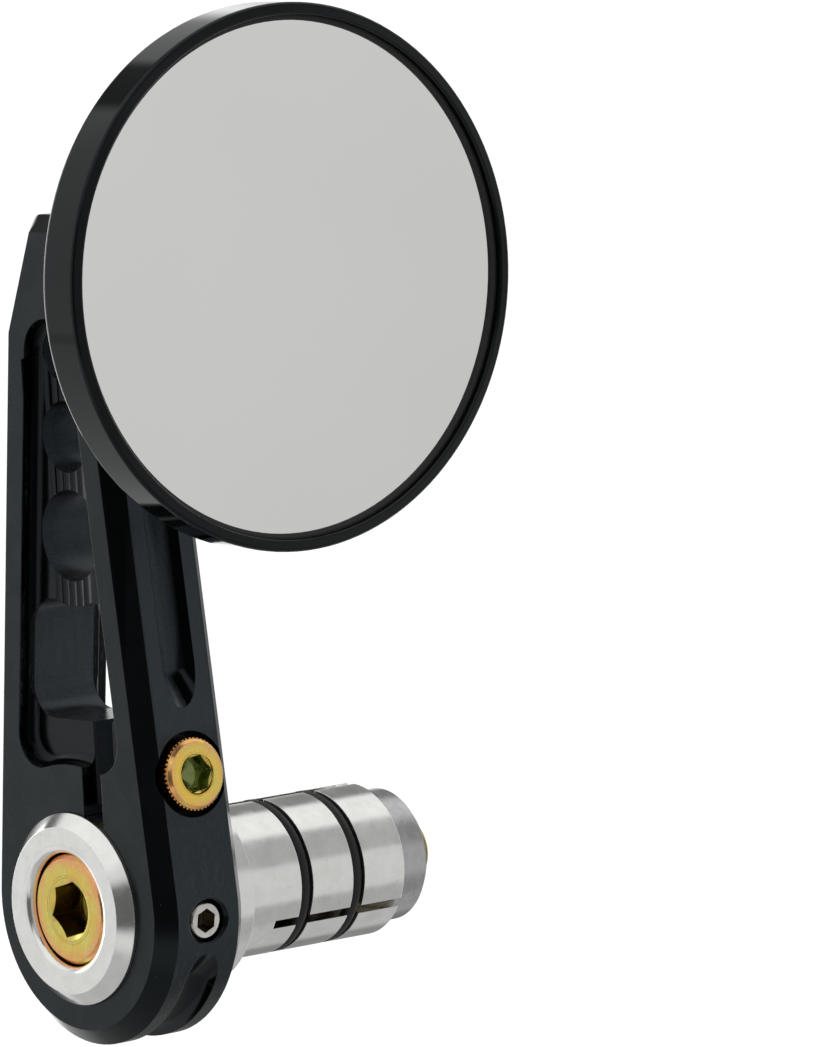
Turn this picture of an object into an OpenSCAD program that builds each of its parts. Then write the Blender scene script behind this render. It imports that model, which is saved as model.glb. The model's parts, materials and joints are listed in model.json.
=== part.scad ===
// Bar-end mirror: a round mirror head on a ball joint, on a machined arm that clamps round a bush,
// which is bolted into the open end of a handlebar. Millimetres, +Z up along the arm.
// The origin is the centre of the bush's seat, the face that meets the end of the bar.
// +X runs into the bar, and the mirror faces -Y.

/* [Arm] */
// Thickness of the arm along the bar
arm_t = 13; // [12:0.5:15]
// Radius of the arm's lower end about the bush
arm_r = 16.4; // [16:0.1:17.5]
// Half taper of the arm, in degrees
arm_taper = 6.43; // [5.5:0.1:7]
// Height of the arm's top above the bush's axis
arm_top = 81.3; // [80:0.5:84]
// Chamfer all round both wide faces
arm_chamfer = 2; // [1:0.25:2.5]
// Width of the flat rim round each pocket
rim_w = 2.95; // [2.5:0.05:3.5]
// Depth of each pocket
pocket_depth = 2.1; // [1.5:0.1:2.5]
// Radius of the fillet at the foot of the pocket's wall
pocket_fillet = 1.3; // [0.8:0.1:1.5]
// Width of the clamping slit
slit_w = 3.5; // [2.5:0.1:3.8]

/* [Bush and fixings] */
// Radius of the bush
bush_r = 11.35; // [11:0.05:11.6]
// How far the bush stands out of the arm's outer face
bush_proud = 2; // [1:0.25:3]
// Gap between the arm and the end of the bar
bar_gap = 4.6; // [3:0.1:6]
// Radius of the expanding sleeve inside the bar
sleeve_r = 9.2; // [9:0.1:9.4]
// Length of the expanding sleeve
sleeve_l = 25; // [22:1:28]

/* [Mirror head] */
// Outer radius of the housing
head_r = 31.05; // [30:0.25:33]
// Depth of the housing's flat side band
band_l = 5.65; // [5:0.1:7]
// Depth of the glass below the lip
glass_recess = 1.4; // [1:0.1:2]
// Width of the bevelled lip
lip_w = 1.4; // [1:0.1:2]
// Turn of the head about the vertical, in degrees
head_turn = -2.4; // [-8:0.2:8]
// Height of the ball joint above the bush's axis
ball_z = 74.65; // [74:0.05:75.5]
// Distance of the ball joint in front of the arm's centre plane
ball_y = 24.45; // [23:0.05:26]

/* [Hidden] */
$fn = 96;
black = [0.06, 0.065, 0.07];
silver = [0.82, 0.82, 0.83];
zinc = [0.80, 0.68, 0.28];
steel = [0.6, 0.6, 0.62];
rubber = [0.03, 0.03, 0.03];
nylon = [0.9, 0.89, 0.85];

face_x = -(bar_gap + arm_t);
mid_x = face_x + arm_t / 2;
over = 1;
run_gap = 0.05;

// Pocket: its outline is two sides along the taper, a round top, and an arc round the bush
side_d = arm_r - arm_chamfer - rim_w;
pocket_top = 69.3;
top_z = (pocket_top - side_d) / (1 - sin(arm_taper));
top_r = pocket_top - top_z;
foot_r = 17;
corner_r = 3.7;
floor_step = 0.03;
flute_r = 2.2;
flute_depth = 0.12;
flute_pitch = 1.3;
corner_turn = arm_taper + acos((side_d - corner_r) / (foot_r + corner_r));

// Lightening holes and window: centre height and radius of each hole
holes = [[43.7, 5.35], [55.3, 4.2], [65, 3.15]];
window_foot = 22;
window_land_r = 8.35;
window_corner_r = 3.6;
slit_y = -4.1;

// Grooves cut by a ball-nosed cutter in the narrow faces
groove_r = 2.45;
groove_low = 27;
groove_high = 62;
groove_ramp = 4.9;
foot_groove_turn = 35;
foot_groove_tilt = 19.3;

// Clamp bolt (M5) and grub screw (M5)
clamp_up = 14.4;
clamp_head_r = 4.25;
clamp_head_l = 5;
clamp_proud = 1.05;
clamp_cbore_r = 5.05;
clamp_r = 2.5;
clamp_l = 18;
grub_turn = 3.5;
grub_r = 2.5;
grub_l = 4.4;
grub_sink = 0.5;

// Bolt (M8), washer and wedge in the bush and the bar
bolt_head_r = 6.5;
bolt_head_l = 8;
head_gap = 0.22;
bolt_r = 4;
bolt_l = 44;
bolt_sink = 0.8;
mouth_round = 1.1;
bush_chamfer = 1.5;
washer_l = 1.2;
head_floor = face_x - bush_proud + bolt_sink + bolt_head_l;
cone_l = 10;
cone_small_r = 4.9;
cone_big_r = 8;
wedge_l = 15;
slot_start = 5.5;

// Ball joint
ball_r = 6;
neck_r = 2.6;
stud_r = 3;
spot_y = -7.3;
spot_r = 6.4;
stud_washer_l = 1;
lock_nut_l = 3;
seat_gap = 0.1;
seat_t = 1;
socket_r = ball_r + seat_t + 2 * seat_gap;

// Head, measured forward of the ball's centre
glass_w = 13.5;
glass_t = 2;
backing_t = 0.3;
pad_t = 1;
bevel_l = 0.3;
wall_t = 1.5;
lip_front = glass_w + glass_recess;
band_front = lip_front - 0.55;
band_back = band_front - band_l;
lip_r = head_r - lip_w;
gasket_w = 0.65;
hub_r = 10;
hub_back = -4.6;
mouth_turn = 50;
plug_r = 8.4;
plug_back = 3.4;
plug_l = 3;
screw_ring_r = 19;

// Places a part whose axis is the side face's normal, with the bush's axis as its origin
module side_place() translate([mid_x, 0, 0]) rotate([-arm_taper, 0, 0]) children();

// Turns +Z into +X: for parts turned about the bar's axis
module along_bar() rotate([0, 90, 0]) children();

// Turns the flat outline of the arm, drawn as (y, z), into the wide face
module on_face(x = 0) translate([face_x + x, 0, 0]) rotate([90, 0, 90]) children();

// Head parts are turned about +Z, which becomes the way the mirror faces
module head_place() translate([mid_x, -ball_y, ball_z])
    rotate([0, 0, head_turn]) rotate([90, 0, 0]) children();

// A ring or disc with a rectangular section
module ring(r_out, r_in, l) difference() {
    cylinder(r = r_out, h = l);
    translate([0, 0, -over]) cylinder(r = r_in, h = l + 2 * over);
}

// Points of a fillet of radius r on corner b, on the way from a to c
function unit(v) = v / norm(v);
function fillet(a, b, c, r, n = 6) = let (
        u = unit(a - b),
        w = unit(c - b),
        half = acos(u * w) / 2,
        m = b + unit(u + w) * r / sin(half),
        p = b + u * r / tan(half) - m,
        turn = sign(u[1] * w[0] - u[0] * w[1]) * (180 - 2 * half))
    [for (i = [0 : n]) let (t = turn * i / n)
        m + [p[0] * cos(t) - p[1] * sin(t), p[0] * sin(t) + p[1] * cos(t)]];

// A hexagon across its flats
module hex(flats, l) cylinder(r = flats / 2 / cos(30), h = l, $fn = 6);

// ---- Arm ----
function side_y(z, d) = (d - z * sin(arm_taper)) / cos(arm_taper);

module arm_outline() hull() {
    circle(r = arm_r);
    offset(r = 2) offset(delta = -2) polygon([
        [-side_y(10, arm_r), 10],
        [-side_y(arm_top, arm_r), arm_top],
        [3.3, arm_top],
        [side_y(68, arm_r), 68],
        [side_y(10, arm_r), 10]]);
}

module arm_blank() hull() {
    on_face(arm_chamfer) linear_extrude(arm_t - 2 * arm_chamfer) arm_outline();
    on_face() linear_extrude(arm_t) offset(delta = -arm_chamfer) arm_outline();
}

function arc_points(cy, cz, r, from, to, n) =
    [for (i = [0 : n]) let (a = from + (to - from) * i / n) [cy + r * cos(a), cz + r * sin(a)]];

// The pocket's outline, drawn in from its rim by inset
function pocket_points(inset) = let (
        cy = (foot_r + corner_r) * cos(corner_turn),
        cz = (foot_r + corner_r) * sin(corner_turn),
        r = corner_r - inset)
    concat(
        arc_points(0, top_z, top_r - inset, 180 - arm_taper, arm_taper, 20),
        arc_points(cy, cz, r, arm_taper, corner_turn - 180, 9),
        arc_points(0, 0, foot_r + inset, corner_turn + 4, 176 - corner_turn, 5),
        arc_points(-cy, cz, r, -corner_turn, -180 - arm_taper, 9));

// Depth and inset of each ring of the pocket's wall, down to the fillet at its foot
pocket_rings = concat([[-over, 0]], [for (t = [0 : 18 : 90])
    [pocket_depth - floor_step - pocket_fillet * (1 - sin(t)), pocket_fillet * (1 - cos(t))]]);

module pocket_walls() {
    n = len(pocket_points(0));
    rings = len(pocket_rings);
    points = [for (g = pocket_rings) for (q = pocket_points(g[1])) [g[0], q[0], q[1]]];
    walls = [for (k = [0 : rings - 2]) for (i = [0 : n - 1]) let (j = (i + 1) % n)
        [k * n + i, k * n + j, (k + 1) * n + j, (k + 1) * n + i]];
    mouth = [[for (i = [0 : n - 1]) n - 1 - i]];
    floor_face = [[for (i = [0 : n - 1]) (rings - 1) * n + i]];
    translate([face_x, 0, 0]) polyhedron(points, concat(walls, mouth, floor_face), convexity = 4);
}

// The pocket's flat floor, a hair below the foot of the wall's fillet
module pocket_floor() on_face(-over) linear_extrude(pocket_depth + over)
    polygon(pocket_points(pocket_fillet - 0.1));

// Shallow scallops that the cutter left along the middle of the pocket's floor
module pocket_flutes() for (y = [-2 : 2])
    translate([face_x + pocket_depth + flute_depth - flute_r, y * flute_pitch, window_foot + 11])
        cylinder(r = flute_r, h = holes[2][0] - window_foot - 11.5);

// Both pockets, alike in the two wide faces
module on_both_faces() {
    children();
    translate([2 * mid_x, 0, 0]) mirror([1, 0, 0]) children();
}

module window() on_face(-over) linear_extrude(arm_t + 2 * over)
    offset(r = window_corner_r) offset(delta = -window_corner_r) difference() {
        polygon([
            [-side_y(window_foot, side_d - 0.15), window_foot],
            [-side_y(holes[0][0], side_d - 0.15), holes[0][0]],
            [side_y(holes[0][0], side_d - 0.15), holes[0][0]],
            [side_y(window_foot, side_d - 0.15), window_foot]]);
        translate([0, holes[0][0]]) circle(r = window_land_r);
    }

// A groove with round ends between two points
module groove(from, to) hull() {
    translate(from) sphere(r = groove_r, $fn = 24);
    translate(to) sphere(r = groove_r, $fn = 24);
}

// The groove in the front face, which runs out at both ends
module front_groove() side_place() {
    translate([0, -arm_r, groove_low]) cylinder(r = groove_r, h = groove_high - groove_low);
    for (end = [[groove_low, -1], [groove_high, 1]])
        groove([0, -arm_r, end[0]],
            [0, -arm_r - groove_ramp * sin(30), end[0] + end[1] * groove_ramp * cos(30)]);
}

// The groove round the foot of the arm, which runs out at both ends
module foot_groove() {
    translate([mid_x, 0, 0]) along_bar() rotate([0, 0, foot_groove_turn - 90])
        rotate_extrude(angle = 180 - 2 * foot_groove_turn) translate([arm_r, 0]) circle(r = groove_r, $fn = 48);
    for (s = [-1, 1])
        translate([mid_x, 0, 0]) rotate([-s * foot_groove_turn, 0, 0])
            groove([0, s * arm_r, 0],
                [0, s * (arm_r + groove_ramp * sin(foot_groove_tilt)), groove_ramp * cos(foot_groove_tilt)]);
}

module clamp_holes() side_place() rotate([90, 0, 0]) {
    translate([0, clamp_up, arm_r + clamp_proud - clamp_head_l]) cylinder(r = clamp_cbore_r, h = 10);
    translate([0, clamp_up, arm_r + clamp_proud - clamp_head_l - clamp_l - 0.5])
        cylinder(r = clamp_r + run_gap, h = clamp_l + over);
}

module grub_hole() translate([mid_x, 0, 0]) rotate([90 + grub_turn, 0, 0]) {
    cylinder(r = grub_r + run_gap, h = arm_r + over);
    translate([0, 0, arm_r - 0.4]) cylinder(r1 = grub_r + run_gap, r2 = grub_r + 1.2, h = 1.1);
}

module stud_hole() translate([mid_x, 0, ball_z]) rotate([90, 0, 0]) {
    translate([0, 0, -2.5]) cylinder(r = stud_r + 0.02, h = 12);
    translate([0, 0, -spot_y]) cylinder(r = spot_r, h = 8);
}

module arm() color(black) difference() {
    arm_blank();
    on_both_faces() pocket_walls();
    on_both_faces() pocket_floor();
    on_both_faces() pocket_flutes();
    window();
    for (h = holes)
        translate([face_x - over, 0, h[0]]) along_bar() cylinder(r = h[1], h = arm_t + 2 * over);
    translate([face_x - over, 0, 0]) along_bar() cylinder(r = bush_r + run_gap, h = arm_t + 2 * over);
    translate([face_x - over, slit_y - slit_w / 2, 5])
        cube([arm_t + 2 * over, slit_w, window_foot - 4]);
    front_groove();
    foot_groove();
    clamp_holes();
    grub_hole();
    stud_hole();
}

// ---- Bush, center bolt and the expander inside the bar ----
// Rounds the mouth of a bore of radius bore_r whose face is at z = 0, when it is cut away
module rounded_mouth(bore_r, r) rotate_extrude() difference() {
    translate([bore_r - over, -over]) square([r + over, r + over]);
    translate([bore_r + r, r]) circle(r = r);
}

module bar_end_bush() color(silver) difference() {
    translate([face_x - bush_proud, 0, 0]) along_bar() {
        translate([0, 0, bush_chamfer]) cylinder(r = bush_r, h = bush_proud + arm_t + bar_gap - bush_chamfer);
        cylinder(r1 = bush_r - bush_chamfer, r2 = bush_r, h = bush_chamfer);
    }
    translate([face_x - bush_proud - over, 0, 0]) along_bar()
        cylinder(r = bolt_head_r + head_gap, h = head_floor + washer_l - face_x + bush_proud + over);
    translate([face_x - bush_proud, 0, 0]) along_bar() rounded_mouth(bolt_head_r + head_gap, mouth_round);
    translate([head_floor, 0, 0]) along_bar() cylinder(r = bolt_r + 0.2, h = 30);
}

module center_bolt() color(zinc) difference() {
    union() {
        translate([head_floor - bolt_head_l, 0, 0]) along_bar() {
            cylinder(r1 = bolt_head_r - 0.5, r2 = bolt_head_r, h = 0.5);
            translate([0, 0, 0.5]) cylinder(r = bolt_head_r, h = bolt_head_l - 0.5);
        }
        translate([head_floor - over, 0, 0]) along_bar() cylinder(r = bolt_r, h = bolt_l + over);
    }
    translate([head_floor - bolt_head_l - over, 0, 0]) rotate([14, 0, 0]) along_bar() hex(6, 4.2 + over);
    translate([head_floor - bolt_head_l + 4.1, 0, 0]) along_bar()
        cylinder(r1 = 2.9, r2 = 0.4, h = 1.4);
    translate([head_floor - bolt_head_l - 0.01, 0, 0]) along_bar() cylinder(r1 = 3.6, r2 = 2.9, h = 0.4);
}

module bolt_washer() color(steel) translate([head_floor, 0, 0]) along_bar()
    ring(bolt_head_r + 0.2, bolt_r + 0.2, washer_l);

module expander_sleeve() color(silver) difference() {
    along_bar() cylinder(r = sleeve_r, h = sleeve_l);
    translate([-over, 0, 0]) along_bar() cylinder(r = cone_small_r - 0.1, h = sleeve_l + 2 * over);
    translate([sleeve_l - cone_l, 0, 0]) along_bar()
        cylinder(r1 = cone_small_r - 0.1, r2 = cone_big_r, h = cone_l + 0.01);
    for (a = [0, 120, 240])
        rotate([a, 0, 0]) translate([slot_start, -0.6, 0]) cube([sleeve_l, 1.2, sleeve_r + over]);
    for (x = [9, 17]) translate([x, 0, 0]) along_bar() ring(sleeve_r + over, sleeve_r - 0.9, 1.8);
}

module expander_rings() color(rubber) for (x = [9, 17])
    translate([x + 0.9, 0, 0]) along_bar() rotate_extrude() translate([sleeve_r - 0.88, 0]) circle(r = 0.86);

module expander_wedge() color(steel) difference() {
    union() {
        translate([sleeve_l - cone_l + 0.4, 0, 0]) along_bar()
            cylinder(r1 = cone_small_r - 0.1, r2 = cone_big_r, h = cone_l);
        translate([sleeve_l + 0.4, 0, 0]) along_bar() cylinder(r = cone_big_r, h = wedge_l - cone_l - 1);
        translate([sleeve_l - cone_l + wedge_l - 0.6, 0, 0]) along_bar()
            cylinder(r1 = cone_big_r, r2 = cone_big_r - 1, h = 1);
    }
    translate([sleeve_l - cone_l - over, 0, 0]) along_bar() cylinder(r = bolt_r + run_gap, h = 30);
}

// ---- Clamp bolt and grub screw ----
module clamp_bolt() color(zinc) side_place() rotate([90, 0, 0])
    translate([0, clamp_up, arm_r + clamp_proud - clamp_head_l]) difference() {
        union() {
            cylinder(r = clamp_head_r - 0.12, h = clamp_head_l - 0.4);
            translate([0, 0, clamp_head_l - 0.4])
                cylinder(r1 = clamp_head_r - 0.12, r2 = clamp_head_r - 0.5, h = 0.4);
            for (i = [0 : 47]) rotate([0, 0, i * 7.5])
                translate([clamp_head_r - 0.2, -0.13, 0.3]) cube([0.2, 0.26, clamp_head_l - 0.9]);
            translate([0, 0, -clamp_l]) cylinder(r = clamp_r, h = clamp_l + over);
        }
        translate([0, 0, clamp_head_l - 2.6]) rotate([0, 0, 8]) hex(4, 4);
        translate([0, 0, clamp_head_l - 3.4]) cylinder(r1 = 0.3, r2 = 1.9, h = 0.9);
        translate([0, 0, clamp_head_l - 0.3]) cylinder(r1 = 2, r2 = 2.45, h = 0.31);
    }

module grub_screw() color(steel) translate([mid_x, 0, 0]) rotate([90 + grub_turn, 0, 0])
    translate([0, 0, arm_r - grub_sink - grub_l]) difference() {
        union() {
            translate([0, 0, 0.5]) cylinder(r = grub_r, h = grub_l - 1);
            cylinder(r1 = grub_r - 0.5, r2 = grub_r, h = 0.5);
            translate([0, 0, grub_l - 0.5]) cylinder(r1 = grub_r, r2 = grub_r - 0.5, h = 0.5);
        }
        translate([0, 0, grub_l - 2.4]) rotate([0, 0, 24]) hex(2.5, 4);
    }

// ---- Ball joint ----
module ball_stud() color(steel) translate([mid_x, -ball_y, ball_z]) rotate([-90, 0, 0]) {
    sphere(r = ball_r);
    cylinder(r = neck_r, h = ball_y + spot_y + 0.1);
    translate([0, 0, ball_y + spot_y - stud_washer_l - lock_nut_l - 0.4])
        cylinder(r = stud_r, h = stud_washer_l + lock_nut_l + 10);
}

module stud_washer() color(steel) translate([mid_x, spot_y, ball_z]) rotate([90, 0, 0])
    ring(5.6, stud_r + 0.02, stud_washer_l);

module stud_lock_nut() color(steel) translate([mid_x, spot_y - stud_washer_l, ball_z]) rotate([90, 0, 0])
    difference() {
        intersection() {
            hex(10, lock_nut_l);
            cylinder(r1 = 5.2 + lock_nut_l, r2 = 5.2, h = lock_nut_l);
        }
        translate([0, 0, -over]) cylinder(r = stud_r + 0.02, h = lock_nut_l + 2 * over);
    }

// A cup between two balls, kept between two angles from the way the mirror faces
module seat(from, to) rotate_extrude() polygon(concat(
    [for (i = [0 : 16]) let (a = 90 - from - (to - from) * i / 16)
        (ball_r + seat_gap) * [cos(a), sin(a)]],
    [for (i = [0 : 16]) let (a = 90 - to + (to - from) * i / 16)
        (ball_r + seat_gap + seat_t) * [cos(a), sin(a)]]));

module inner_ball_seat() color(nylon) head_place() seat(14, 58);

module outer_ball_seat() color(nylon) head_place() seat(92, 180 - mouth_turn - 2);

module socket_plug() color(steel) head_place() difference() {
    translate([0, 0, plug_back]) cylinder(r = plug_r, h = plug_l);
    sphere(r = socket_r);
    for (a = [0, 180]) rotate([0, 0, a]) translate([6.3, 0, plug_back]) cylinder(r = 0.8, h = plug_l + over);
}

// ---- Rear cover: a shallow dome with the socket in its middle ----
module rear_cover() color(black) head_place() difference() {
    rotate_extrude() polygon([
        [0, hub_back],
        [hub_r - 1.4, hub_back],
        [hub_r, hub_back + 1.4],
        [hub_r, 0.6],
        [hub_r + 1.2, 2.4],
        [16, 4.3],
        [22, 5.7],
        [27, 6.5],
        [29, 7.3],
        [29, band_back],
        [0, band_back]]);
    rotate_extrude() polygon([
        [11.4, band_back + over],
        [11.4, 5],
        [14, 5.8],
        [17, 6.4],
        [21, 7.1],
        [26, band_back - 0.6],
        [26, band_back + over]]);
    sphere(r = socket_r);
    translate([0, 0, plug_back]) cylinder(r = plug_r + 0.02, h = 20);
    translate([0, 0, hub_back - over]) cylinder(r1 = 7.6, r2 = 5.4, h = -hub_back - ball_r * cos(mouth_turn) + over);
    for (a = [30, 150, 270]) rotate([0, 0, a]) translate([screw_ring_r, 0, -10]) cylinder(r = 1.3, h = 30);
    for (a = [30, 150, 270]) rotate([0, 0, a]) translate([screw_ring_r, 0, -10]) cylinder(r = 2.4, h = 16.3);
}

module cover_screws() color(steel) head_place() for (a = [30, 150, 270])
    rotate([0, 0, a]) translate([screw_ring_r, 0, 4.7]) difference() {
        union() {
            cylinder(r = 2.2, h = 1.6);
            cylinder(r = 1.25, h = band_back + wall_t - 4.7 - 0.2);
        }
        translate([0, 0, -over]) hex(2, 2);
    }

module dust_ring() color(rubber) head_place() translate([0, 0, hub_back])
    rotate_extrude() translate([8, 0]) circle(r = 0.5);

// ---- Mirror housing and what it holds ----
module mirror_housing() color(black) head_place() difference() {
    rotate_extrude() polygon(concat(
        [[0, band_back]],
        fillet([0, band_back], [head_r, band_back], [head_r, lip_front], 0.8),
        fillet([head_r, band_back], [head_r, lip_front - bevel_l], [lip_r, lip_front], 0.5),
        fillet([head_r, lip_front - bevel_l], [lip_r, lip_front], [lip_r, 0], 0.25, 4),
        [[lip_r, glass_w - glass_t - backing_t - pad_t],
            [0, glass_w - glass_t - backing_t - pad_t]]));
    translate([0, 0, -over]) cylinder(r = 10.6, h = 30);
    for (a = [30, 150, 270]) rotate([0, 0, a]) translate([screw_ring_r, 0, 0]) cylinder(r = 1.27, h = 30);
}

module disc(r, back, l) head_place() translate([0, 0, back]) cylinder(r = r, h = l);

module mirror_glass() color([0.8, 0.8, 0.79]) disc(lip_r - 0.1, glass_w - glass_t, glass_t);

module reflective_backing() color(silver) disc(lip_r - 0.3, glass_w - glass_t - backing_t, backing_t);

module adhesive_layer() color(rubber) disc(lip_r - 0.8, glass_w - glass_t - backing_t - pad_t, pad_t);

module glass_gasket() color(rubber) head_place() translate([0, 0, glass_w])
    difference() {
        cylinder(r = lip_r - 0.03, h = 0.45);
        translate([0, 0, -over]) cylinder(r = lip_r - gasket_w, h = 3);
        translate([0, 0, 0.2]) cylinder(r1 = lip_r - gasket_w - 0.05, r2 = lip_r - 0.2, h = 0.3);
    }

arm();
bar_end_bush();
center_bolt();
bolt_washer();
expander_sleeve();
expander_wedge();
expander_rings();
clamp_bolt();
grub_screw();
ball_stud();
stud_washer();
stud_lock_nut();
inner_ball_seat();
outer_ball_seat();
socket_plug();
rear_cover();
cover_screws();
dust_ring();
mirror_housing();
mirror_glass();
reflective_backing();
adhesive_layer();
glass_gasket();
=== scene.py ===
import json
from math import cos, pi, radians, sin

import bpy
from mathutils import Matrix, Vector

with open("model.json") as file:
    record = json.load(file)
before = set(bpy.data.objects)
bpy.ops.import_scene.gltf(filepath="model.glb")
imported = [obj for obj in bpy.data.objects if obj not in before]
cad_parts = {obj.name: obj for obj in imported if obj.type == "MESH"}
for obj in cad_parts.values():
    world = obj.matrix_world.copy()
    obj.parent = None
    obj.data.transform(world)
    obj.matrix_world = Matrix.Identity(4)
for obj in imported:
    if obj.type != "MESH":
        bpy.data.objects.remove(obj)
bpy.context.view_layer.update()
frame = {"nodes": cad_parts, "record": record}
nodes = frame["nodes"]
mm = 0.001

# ---- Camera: it looks at the foot of the arm's outer face from the left and a little above ----
AZIMUTH, ELEVATION, ROLL = radians(-40.296), radians(6.299), radians(-2.953)
DISTANCE, ASIDE, ABOVE, LENS = 938.378 * mm, 38.835 * mm, 45.053 * mm, 275.74
FOOT = Vector((-17.6 * mm, 0, 0))

back = Vector((sin(AZIMUTH) * cos(ELEVATION), -cos(AZIMUTH) * cos(ELEVATION), sin(ELEVATION)))
level = Vector((cos(AZIMUTH), sin(AZIMUTH), 0))
upright = back.cross(level)
right = level * cos(ROLL) + upright * sin(ROLL)
up = upright * cos(ROLL) - level * sin(ROLL)


def make_camera():
    data = bpy.data.cameras.new("camera")
    data.lens, data.sensor_width, data.sensor_fit = LENS, 36, "AUTO"
    data.clip_start, data.clip_end = 0.01, 50
    cam = bpy.data.objects.new("camera", data)
    turn = Matrix((right, up, back)).transposed()
    cam.matrix_world = Matrix.Translation(FOOT + back * DISTANCE + right * ASIDE + up * ABOVE) @ turn.to_4x4()
    bpy.context.scene.collection.objects.link(cam)
    bpy.context.scene.camera = cam


# ---- Node helpers ----
class Graph:
    """Makes nodes in one tree: g.add(type, inputs..., attributes...) and links what is linked."""

    def __init__(self, tree):
        self.tree = tree

    def add(self, kind, inputs=(), **attributes):
        n = self.tree.nodes.new(kind)
        for key, value in attributes.items():
            setattr(n, key, value)
        for key, value in dict(inputs).items():
            self.put(n.inputs[key], value)
        return n

    def put(self, socket, value):
        if isinstance(value, bpy.types.NodeSocket):
            self.tree.links.new(value, socket)
        else:
            socket.default_value = value

    def math(self, operation, *values):
        return self.add("ShaderNodeMath", dict(enumerate(values)), operation=operation).outputs[0]

    def vector(self, operation, *values):
        n = self.add("ShaderNodeVectorMath", dict(enumerate(values)), operation=operation)
        return n.outputs["Value" if operation in ("DOT_PRODUCT", "LENGTH") else "Vector"]

    def ramp(self, value, low, high, to_low=0.0, to_high=1.0, smooth=True):
        inputs = {"Value": value, "From Min": low, "From Max": high, "To Min": to_low, "To Max": to_high}
        return self.add("ShaderNodeMapRange", inputs,
                        interpolation_type="SMOOTHSTEP" if smooth else "LINEAR").outputs[0]

    def mix(self, factor, a, b, blend="MIX"):
        n = self.add("ShaderNodeMix", data_type="RGBA", blend_type=blend)
        for i, value in ((0, factor), (6, a), (7, b)):
            self.put(n.inputs[i], value)
        return n.outputs[2]

    def noise(self, at, scale, detail=2.0, roughness=0.5):
        inputs = {"Vector": at, "Scale": scale, "Detail": detail, "Roughness": roughness}
        return self.add("ShaderNodeTexNoise", inputs).outputs[0]

    def stretch(self, at, scale):
        return self.vector("MULTIPLY", at, scale)

    def parts(self, vector):
        return self.add("ShaderNodeSeparateXYZ", {0: vector}).outputs

    def bump(self, height, distance, strength, normal=None):
        inputs = {"Height": height, "Distance": distance, "Strength": strength}
        if normal is not None:
            inputs["Normal"] = normal
        return self.add("ShaderNodeBump", inputs).outputs[0]

    def round_edges(self, radius):
        return self.add("ShaderNodeBevel", {"Radius": radius}, samples=4).outputs[0]


def grey(v):
    return (v, v, v, 1)


# ---- World: white for the camera; for the object, a studio of soft panels ----
# Each panel: azimuth of its middle (0 is -Y and 90 is +X), half its width, lowest and highest elevation,
# width of its soft edge, all in degrees, and its brightness. A half width over 180 goes all the way round.
PANELS = (
    ("ceiling", 0, 181, 42, 91, 14, 0.90),
    ("table", 0, 181, -91, -46, 12, 0.48),
    ("card_left", -142, 26, -45, 24, 8, 0.76),
    ("backdrop", 172, 26, -12, 14, 10, 2.20),
    ("edge_left", -148, 22, -14.4, -12.8, 0.9, 0.58),
    ("room_in_front", 10, 50, -45, 45, 10, 0.42),
    ("card_in_front", 38, 20, -24, 13, 6, 0.64),
    ("gap_right", 73, 9, -34, 24, 6, 0.22),
    ("card_right", 98, 13, -40, 40, 7, 1.20),
    ("flag_right", 128, 9, -40, 40, 6, 0.25),
    ("gap_behind", 176, 7, 22, 60, 5, 0.15),
    ("camera_side", -52, 20, -15, 15, 12, 0.13),
)


def make_world():
    world = bpy.data.worlds.new("studio")
    bpy.context.scene.world = world
    world.use_nodes = True
    world.node_tree.nodes.clear()
    g = Graph(world.node_tree)
    d = g.vector("NORMALIZE", g.add("ShaderNodeTexCoord").outputs["Generated"])
    elevation = g.math("DEGREES", g.math("ARCSINE", g.parts(d)[2]))
    light = grey(0.72)
    for _, azimuth, half, low, high, soft, value in PANELS:
        mask = 1.0
        if half < 180:
            a = radians(azimuth)
            ahead = g.vector("DOT_PRODUCT", d, (sin(a), -cos(a), 0))
            aside = g.vector("DOT_PRODUCT", d, (cos(a), sin(a), 0))
            off = g.math("ABSOLUTE", g.math("DEGREES", g.math("ARCTAN2", aside, ahead)))
            mask = g.ramp(off, half + soft, half)
        above = g.ramp(elevation, low - soft, low)
        below = g.ramp(elevation, high + soft, high)
        light = g.mix(g.math("MULTIPLY", mask, g.math("MULTIPLY", above, below)), light, grey(value))
    sky = g.add("ShaderNodeBackground", {"Color": light, "Strength": 1.0}).outputs[0]
    plain = g.add("ShaderNodeBackground", {"Color": grey(1.0), "Strength": 1.0}).outputs[0]
    seen = g.add("ShaderNodeLightPath").outputs["Is Camera Ray"]
    both = g.add("ShaderNodeMixShader", {0: seen, 1: sky, 2: plain}).outputs[0]
    g.add("ShaderNodeOutputWorld", {"Surface": both})


def make_floor():
    mesh = bpy.data.meshes.new("floor")
    size, z = 6.0, -0.12
    corners = [(-size, -size, z), (size, -size, z), (size, size, z), (-size, size, z)]
    mesh.from_pydata(corners, [], [(0, 1, 2, 3)])
    floor = bpy.data.objects.new("floor", mesh)
    mat = bpy.data.materials.new("pale_floor")
    mat.use_nodes = True
    b = mat.node_tree.nodes["Principled BSDF"]
    b.inputs["Base Color"].default_value = grey(0.8)
    b.inputs["Roughness"].default_value = 0.9
    b.inputs["Specular IOR Level"].default_value = 0.1
    b.inputs["Emission Color"].default_value = grey(1.0)
    b.inputs["Emission Strength"].default_value = 0.45
    mesh.materials.append(mat)
    bpy.context.scene.collection.objects.link(floor)
    floor.visible_glossy = floor.visible_diffuse = floor.visible_transmission = False


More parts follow.
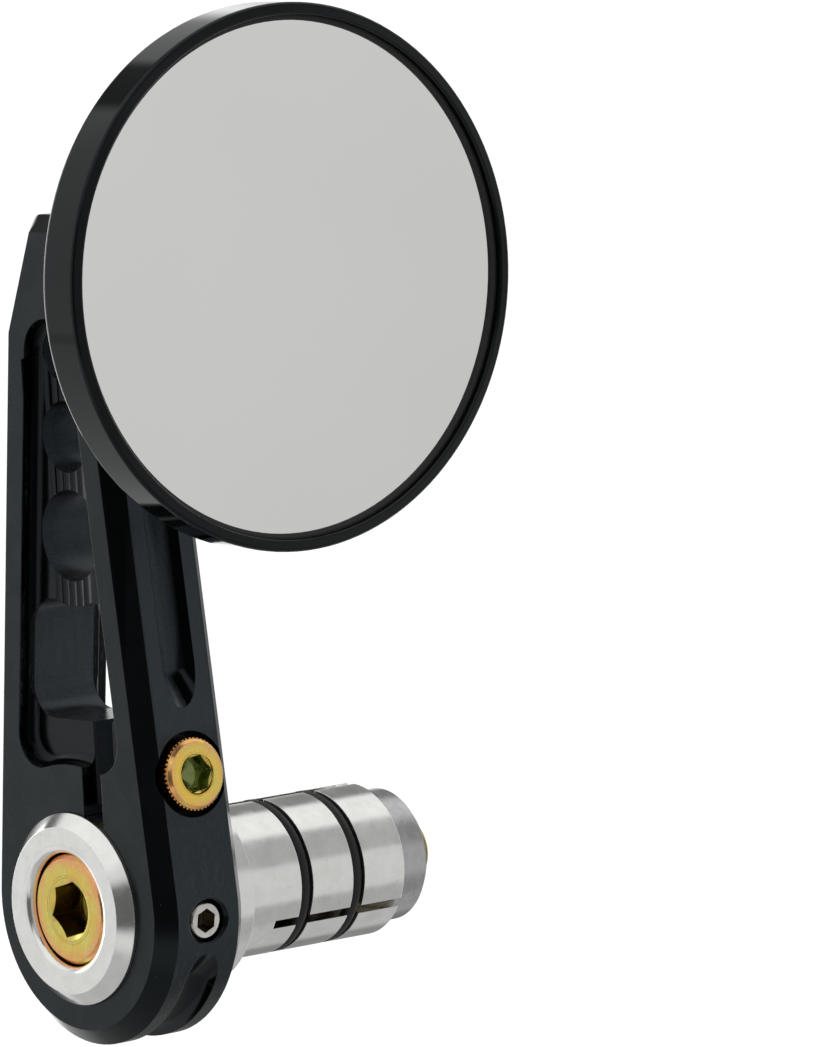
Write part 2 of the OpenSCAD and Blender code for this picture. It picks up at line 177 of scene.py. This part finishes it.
# ---- Materials ----
def material(name, **sockets):
    """A new material: itself, its graph, its shader and the place on the object, in metres."""
    mat = bpy.data.materials.new(name)
    mat.use_nodes = True
    g = Graph(mat.node_tree)
    shader = mat.node_tree.nodes["Principled BSDF"]
    for key, value in sockets.items():
        socket = shader.inputs[key.replace("_", " ").replace("Ior", "IOR")]
        socket.default_value = (*value, 1) if isinstance(value, tuple) else value
    return mat, g, shader, g.add("ShaderNodeTexCoord").outputs["Object"]


MIDDLE = -11.1 * mm  # X of the arm's middle plane
HALF = 6.5 * mm  # half the arm's thickness
WEB = 4.3 * mm  # half the thickness between its two pockets
TAPER = radians(6.43)  # slope of its narrow faces
FOOT_RADIUS = 16.4 * mm  # radius of its round lower end


def arm_regions(g, at, normal):
    """Masks on the arm: its outer wide faces, and its narrow faces with the foot."""
    x, y, z = g.parts(at)
    facing = g.math("ABSOLUTE", g.parts(normal)[0])
    depth = g.math("ABSOLUTE", g.math("SUBTRACT", x, MIDDLE))
    wide = g.math("MULTIPLY", g.ramp(facing, 0.93, 0.97), g.ramp(depth, HALF - 0.15 * mm, HALF - 0.05 * mm))
    slope = g.math("ADD", g.math("MULTIPLY", g.math("ABSOLUTE", y), cos(TAPER)),
                   g.math("MULTIPLY", z, sin(TAPER)))
    radius = g.math("SQRT", g.math("ADD", g.math("MULTIPLY", y, y), g.math("MULTIPLY", z, z)))
    reach = g.math("MAXIMUM", slope, radius)
    skin = g.ramp(reach, FOOT_RADIUS - 0.5 * mm, FOOT_RADIUS - 0.2 * mm)
    narrow = g.math("MULTIPLY", g.ramp(facing, 0.25, 0.12), skin)
    return wide, narrow


def groove_side(g, at, normal):
    """Mask on the side of the front groove that looks away from the arm's outer face, where a highlight is
    painted.
    """
    x, y, z = g.parts(at)
    nx, ny, _ = g.parts(normal)
    middle = g.ramp(g.math("ABSOLUTE", g.math("SUBTRACT", x, MIDDLE)), 4.4 * mm, 4.1 * mm)
    sunk = g.math("MULTIPLY", g.ramp(y, -5 * mm, -6 * mm), g.ramp(z, 20 * mm, 22 * mm))
    turned_away = g.math("MULTIPLY", g.ramp(nx, -0.06, 0.16), g.ramp(ny, -0.25, -0.45))
    return g.math("MULTIPLY", g.math("MULTIPLY", middle, sunk), turned_away)


def pocket_regions(g, at, normal):
    """Masks on the arm: the walls of its holes and window, where a highlight is painted, and the side walls
    of its pockets, where shade is painted.
    """
    x, y, z = g.parts(at)
    nx, ny, _ = g.parts(normal)
    depth = g.math("ABSOLUTE", g.math("SUBTRACT", x, MIDDLE))
    between = g.ramp(g.math("ABSOLUTE", y), 11.5 * mm, 11 * mm)
    above_foot = g.ramp(z, 12 * mm, 12.5 * mm)
    sideways = g.ramp(g.math("ABSOLUTE", nx), 0.9, 0.6)
    web = g.math("MULTIPLY", g.ramp(depth, WEB + 0.15 * mm, WEB), g.ramp(ny, -0.45, -0.8))
    shaded_wall = g.math("MULTIPLY", g.ramp(depth, WEB + 0.02 * mm, WEB + 0.2 * mm),
                  g.ramp(depth, HALF - 0.05 * mm, HALF - 0.2 * mm))
    inside = g.math("MULTIPLY", g.math("MULTIPLY", between, above_foot), sideways)
    return g.math("MULTIPLY", inside, web), g.math("MULTIPLY", inside, shaded_wall)


def black_anodised():
    mat, g, s, at = material("black_anodised", Ior=1.33)
    normal = at.node.outputs["Normal"]
    wide, narrow = arm_regions(g, at, normal)
    flat = g.math("MAXIMUM", wide, narrow)
    streaks = g.noise(g.stretch(at, (9000, 9000, 110)), 1.0, 3.0, 0.6)
    broad_streaks = g.noise(g.stretch(at, (1400, 1400, 40)), 1.0, 2.0, 0.6)
    cutter_marks = g.noise(g.stretch(at, (500, 7000, 7000)), 1.0, 3.0, 0.6)
    grain = g.noise(at, 14000, 2.0, 0.6)
    mottle = g.noise(at, 240, 4.0, 0.6)
    specks = g.ramp(g.noise(at, 3100, 1.0, 0.6), 0.785, 0.80)
    deep = g.mix(g.ramp(mottle, 0.35, 0.7), (0.0016, 0.0019, 0.0021, 1), (0.0030, 0.0035, 0.0039, 1))
    hazy = g.mix(g.ramp(mottle, 0.35, 0.7), (0.0105, 0.0135, 0.0140, 1), (0.0150, 0.0185, 0.0195, 1))
    colour = g.mix(flat, deep, hazy)
    # Painted highlight: surfaces that face -Y are lightened to a bluish grey, broken up by the cutter marks
    # and streaks.
    painted_front_highlight = g.ramp(g.parts(normal)[1], -0.84, -0.98)
    cut = g.ramp(g.mix(narrow, cutter_marks, streaks), 0.30, 0.70, 0.45, 1.0)
    colour = g.mix(g.math("MULTIPLY", painted_front_highlight, cut), colour, (0.036, 0.045, 0.056, 1))
    # Painted highlight: the groove's side is lightened to a bluish grey, broken up by the cutter marks.
    groove_highlight = g.math("MULTIPLY", groove_side(g, at, normal), g.ramp(cutter_marks, 0.30, 0.70, 0.7, 1.0))
    colour = g.mix(groove_highlight, colour, (0.110, 0.135, 0.158, 1))
    web, shaded_wall = pocket_regions(g, at, normal)
    # Painted highlight: the walls of the holes and window are lightened to a bluish grey, broken up by the
    # cutter marks.
    web_highlight = g.math("MULTIPLY", web, g.ramp(cutter_marks, 0.30, 0.70, 0.55, 1.0))
    colour = g.mix(web_highlight, colour, (0.075, 0.090, 0.110, 1))
    # Painted shade: the side walls of the pockets are made near black and their reflection is tinted dark.
    colour = g.mix(shaded_wall, colour, (0.0012, 0.0014, 0.0016, 1))
    g.put(s.inputs["Specular Tint"], g.mix(shaded_wall, (0.80, 0.96, 1.0, 1), (0.22, 0.27, 0.30, 1)))
    worn = g.math("MULTIPLY", g.ramp(g.math("MULTIPLY", streaks, broad_streaks), 0.26, 0.40), narrow)
    colour = g.mix(g.math("MULTIPLY", worn, 0.9), colour, (0.046, 0.052, 0.060, 1))
    colour = g.mix(g.math("MULTIPLY", specks, 0.5), colour, (0.10, 0.11, 0.12, 1))
    g.put(s.inputs["Base Color"], colour)
    rough = g.math("ADD", g.ramp(mottle, 0.3, 0.7, 0.15, 0.20), g.math("MULTIPLY", flat, 0.10))
    g.put(s.inputs["Roughness"], rough)
    rounded = g.round_edges(0.12 * mm)
    fine = g.bump(grain, 0.002 * mm, 0.25, rounded)
    milled = g.bump(cutter_marks, 0.003 * mm, 0.4, fine)
    height = g.math("MULTIPLY", streaks, g.math("ADD", 0.35, g.math("MULTIPLY", narrow, 0.65)))
    g.put(s.inputs["Normal"], g.bump(height, 0.004 * mm, 0.5, milled))
    return mat


def black_anodised_gloss():
    mat, g, s, at = material("black_anodised_gloss", Specular_Tint=(0.87, 0.97, 1.0), Ior=1.34)
    mottle = g.noise(at, 180, 3.0, 0.6)
    specks = g.ramp(g.noise(at, 2600, 2.0, 0.7), 0.73, 0.78)
    colour = g.mix(g.ramp(mottle, 0.35, 0.7), (0.0018, 0.0019, 0.0021, 1), (0.0030, 0.0032, 0.0035, 1))
    g.put(s.inputs["Base Color"], g.mix(specks, colour, (0.012, 0.012, 0.013, 1)))
    g.put(s.inputs["Roughness"], g.ramp(mottle, 0.3, 0.7, 0.055, 0.085))
    rounded = g.round_edges(0.15 * mm)
    g.put(s.inputs["Normal"], g.bump(g.noise(at, 9000, 2.0), 0.001 * mm, 0.2, rounded))
    return mat


def turned(g, at, pitch, noise_amount):
    """Height of fine lathe rings about the bar's axis."""
    x, y, z = g.parts(at)
    r = g.math("SQRT", g.math("ADD", g.math("MULTIPLY", y, y), g.math("MULTIPLY", z, z)))
    uneven = g.math("MULTIPLY", g.noise(at, 700, 2.0), noise_amount)
    place = g.add("ShaderNodeCombineXYZ", {0: g.math("MULTIPLY", r, 1 / pitch), 1: uneven}).outputs[0]
    return g.noise(place, 1.0, 3.0, 0.7)


def bright_aluminium():
    mat, g, s, at = material("bright_aluminium", Metallic=1.0)
    rings = turned(g, at, 0.14 * mm, 0.5)
    mottle = g.noise(at, 330, 5.0, 0.65)
    marks = g.ramp(g.noise(at, 1500, 3.0, 0.7), 0.66, 0.74)
    colour = g.mix(g.ramp(mottle, 0.3, 0.7), (0.82, 0.817, 0.792, 1), (0.92, 0.918, 0.895, 1))
    colour = g.mix(g.math("MULTIPLY", marks, 0.5), colour, (0.42, 0.42, 0.40, 1))
    g.put(s.inputs["Base Color"], colour)
    rough = g.math("ADD", g.ramp(mottle, 0.3, 0.7, 0.10, 0.20), g.math("MULTIPLY", marks, 0.15))
    g.put(s.inputs["Roughness"], rough)
    rounded = g.round_edges(0.12 * mm)
    soft = g.bump(mottle, 0.03 * mm, 0.25, rounded)
    g.put(s.inputs["Normal"], g.bump(rings, 0.004 * mm, 0.4, soft))
    return mat


def screw_axis(joint):
    """Where the axis of a joint's screw runs: a point on it and its direction."""
    row = next(j for j in frame["record"]["behaviour"]["joints"] if j["name"] == joint)
    return Vector(row["pos_m"]), Vector(row["axis"]).normalized()


def from_axis(g, at, joint):
    """Distance of a surface point from a screw's axis."""
    point, direction = screw_axis(joint)
    offset = g.vector("SUBTRACT", at, tuple(point))
    return g.vector("LENGTH", g.vector("CROSS_PRODUCT", offset, tuple(direction)))


def thread(g, at, joint, shank_r, pitch):
    """Height of a helical thread on a screw's shank, 0 at its root and off the shank."""
    point, direction = screw_axis(joint)
    across = direction.orthogonal().normalized()
    offset = g.vector("SUBTRACT", at, tuple(point))
    along = g.vector("DOT_PRODUCT", offset, tuple(direction))
    u = g.vector("DOT_PRODUCT", offset, tuple(across))
    v = g.vector("DOT_PRODUCT", offset, tuple(direction.cross(across)))
    turns = g.math("DIVIDE", g.math("ARCTAN2", u, v), 2 * pi)
    height = g.math("PINGPONG", g.math("ADD", g.math("DIVIDE", along, pitch), turns), 0.5)
    r = from_axis(g, at, joint)
    where = g.math("MULTIPLY", g.ramp(r, shank_r + 0.10 * mm, shank_r + 0.05 * mm),
                   g.ramp(r, shank_r - 0.25 * mm, shank_r - 0.20 * mm))
    return g.math("MULTIPLY", height, where)


def recess(g, reach):
    """1 where a surface lies deep in a socket, 0 where it is open; used to paint shade into sockets."""
    hidden = g.add("ShaderNodeAmbientOcclusion", {"Distance": reach}, samples=8).outputs["AO"]
    return g.ramp(hidden, 0.74, 0.46)


def yellow_zinc(name, joint, rim, shank_r, pitch, face, face_2, blush_tone, socket_shade_tone):
    """Chromated zinc: yellow in the middle, turning pink and orange towards the rim of the head, with shade
    painted into the socket.
    """
    mat, g, s, at = material(name, Metallic=1.0)
    patches = g.noise(at, 420, 3.0, 0.6)
    blush = g.noise(g.vector("ADD", at, (0.31, 0.17, 0.05)), 620, 3.0, 0.6)
    pale = g.ramp(g.noise(at, 3200, 2.0, 0.7), 0.62, 0.70)
    colour = g.mix(g.ramp(patches, 0.38, 0.62), (*face, 1), (*face_2, 1))
    near_rim = g.ramp(from_axis(g, at, joint), rim * 0.68, rim * 0.97)
    rosy = g.math("MULTIPLY", near_rim, g.ramp(blush, 0.32, 0.50))
    pink = g.math("MAXIMUM", rosy, g.ramp(blush, 0.58, 0.68))
    colour = g.mix(g.math("MULTIPLY", pink, 0.85), colour, (*blush_tone, 1))
    colour = g.mix(g.math("MULTIPLY", pale, 0.6), colour, (0.88, 0.84, 0.62, 1))
    # Painted shade: the socket of the head is darkened where ambient occlusion finds it deep.
    socket = g.ramp(from_axis(g, at, joint), rim * 0.64, rim * 0.58)
    deep = g.math("MULTIPLY", recess(g, rim * 1.3), socket)
    colour = g.mix(g.math("MULTIPLY", deep, 0.92), colour, (*socket_shade_tone, 1))
    g.put(s.inputs["Base Color"], colour)
    g.put(s.inputs["Roughness"], g.ramp(patches, 0.3, 0.7, 0.17, 0.30))
    rounded = g.round_edges(0.15 * mm)
    ridges = thread(g, at, joint, shank_r, pitch)
    cut = g.bump(ridges, 1.1 * pitch, 1.0, rounded)
    forged = g.bump(g.noise(at, 520, 2.0, 0.5), 0.09 * mm, 0.8, cut)
    g.put(s.inputs["Normal"], g.bump(g.noise(at, 3800, 3.0, 0.6), 0.010 * mm, 0.5, forged))
    return mat


def steel(name, low, high, rough, rings=False):
    mat, g, s, at = material(name, Metallic=1.0)
    mottle = g.noise(at, 900, 3.0, 0.6)
    colour = g.mix(g.ramp(mottle, 0.35, 0.65), (*low, 1), (*high, 1))
    # Painted shade: recesses are darkened to brown where ambient occlusion finds them deep.
    deep = g.math("MULTIPLY", recess(g, 4 * mm), 0.8)
    g.put(s.inputs["Base Color"], g.mix(deep, colour, (0.16, 0.12, 0.06, 1)))
    g.put(s.inputs["Roughness"], g.ramp(mottle, 0.3, 0.7, rough - 0.05, rough + 0.07))
    rounded = g.round_edges(0.1 * mm)
    height = turned(g, at, 0.1 * mm, 0.4) if rings else g.noise(at, 6000, 2.0)
    g.put(s.inputs["Normal"], g.bump(height, 0.004 * mm, 0.4, rounded))
    return mat


def mirror_face():
    mat, g, s, at = material("mirror_face", Metallic=1.0, Roughness=0.02)
    film = g.noise(at, 30, 2.0, 0.5)
    dust = g.ramp(g.noise(at, 2400, 1.0, 0.6), 0.80, 0.84)
    colour = g.mix(g.ramp(film, 0.3, 0.7), (0.885, 0.885, 0.870, 1), (0.900, 0.900, 0.886, 1))
    # Painted shade: the mirror's colour is up to 5.5% darker towards the low end of the direction (-0.6, 0,
    # 0.8).
    across = g.vector("DOT_PRODUCT", at, (-0.6, 0, 0.8))
    painted_shade_gradient = g.ramp(across, 38 * mm, 95 * mm, 0.945, 1.0, smooth=False)
    colour = g.mix(1.0, colour, painted_shade_gradient, "MULTIPLY")
    g.put(s.inputs["Base Color"], g.mix(g.math("MULTIPLY", dust, 0.3), colour, (0.97, 0.97, 0.96, 1)))
    g.put(s.inputs["Roughness"], g.ramp(film, 0.3, 0.7, 0.015, 0.03))
    return mat


def soft_black(name, level, rough, scale):
    mat, g, s, at = material(name)
    mottle = g.noise(at, scale, 3.0, 0.6)
    g.put(s.inputs["Base Color"], g.mix(g.ramp(mottle, 0.3, 0.7), grey(level), grey(level * 1.8)))
    g.put(s.inputs["Roughness"], g.ramp(mottle, 0.3, 0.7, rough - 0.06, rough + 0.08))
    g.put(s.inputs["Normal"], g.bump(g.noise(at, scale * 5, 3.0, 0.6), 0.02 * mm, 0.4))
    return mat


def nylon():
    mat, g, s, at = material("nylon", Subsurface_Weight=0.15, Subsurface_Scale=0.001)
    mottle = g.noise(at, 500, 3.0, 0.6)
    colour = g.mix(g.ramp(mottle, 0.3, 0.7), (0.78, 0.76, 0.70, 1), (0.84, 0.82, 0.77, 1))
    g.put(s.inputs["Base Color"], colour)
    g.put(s.inputs["Roughness"], g.ramp(mottle, 0.3, 0.7, 0.38, 0.5))
    g.put(s.inputs["Normal"], g.bump(g.noise(at, 5000, 2.0), 0.01 * mm, 0.3))
    return mat


def paint_nodes():
    made = {
        "black_anodised": black_anodised(),
        "black_anodised_gloss": black_anodised_gloss(),
        "bright_aluminium": bright_aluminium(),
        "yellow_zinc": yellow_zinc(
            "yellow_zinc", "center_bolt_turn", rim=6.5 * mm, shank_r=4 * mm, pitch=1.25 * mm,
            face=(0.80, 0.58, 0.13), face_2=(0.74, 0.64, 0.16),
            blush_tone=(0.90, 0.38, 0.20), socket_shade_tone=(0.17, 0.12, 0.012)),
        "stainless": steel("stainless", (0.60, 0.59, 0.56), (0.74, 0.73, 0.70), 0.16),
        "plain_steel": steel("plain_steel", (0.47, 0.47, 0.48), (0.54, 0.54, 0.55), 0.24, rings=True),
        "black_rubber": soft_black("black_rubber", 0.012, 0.62, 900),
        "nylon": nylon(),
        "mirror_face": mirror_face(),
        "silvering": steel("silvering", (0.80, 0.80, 0.80), (0.88, 0.88, 0.88), 0.10),
        "adhesive": soft_black("adhesive", 0.02, 0.8, 1500),
    }
    slots = {s["node"]: s["material_slot"] for s in frame["record"]["subparts"]}
    for name, node in nodes.items():
        node.data.materials.clear()
        node.data.materials.append(made[slots[name]])
    nodes["clamp_bolt"].data.materials[0] = yellow_zinc(
        "yellow_zinc_bright", "clamp_bolt_turn", rim=4.25 * mm, shank_r=2.5 * mm, pitch=0.8 * mm,
        face=(0.98, 0.66, 0.12), face_2=(0.90, 0.70, 0.16),
        blush_tone=(0.98, 0.46, 0.20), socket_shade_tone=(0.28, 0.36, 0.14))


WELD = 0.002 * mm  # corners closer than this are one
SHARP = radians(24)  # two faces that meet at more than this have an edge between them


def refine_shading():
    """Facets of one curved face are shaded as one, and real edges stay sharp."""
    for name in ("arm", "rear_cover"):
        o = nodes[name]
        mesh = o.data
        for old in ("custom_normal", "sharp_edge"):
            if old in mesh.attributes:
                mesh.attributes.remove(mesh.attributes[old])
        mesh.shade_smooth()
        weld = o.modifiers.new("weld", "WELD")
        weld.merge_threshold = WELD
        split = o.modifiers.new("split", "EDGE_SPLIT")
        split.split_angle = SHARP


make_camera()
make_world()
make_floor()
paint_nodes()
refine_shading()
bpy.context.scene.view_settings.view_transform = "Standard"
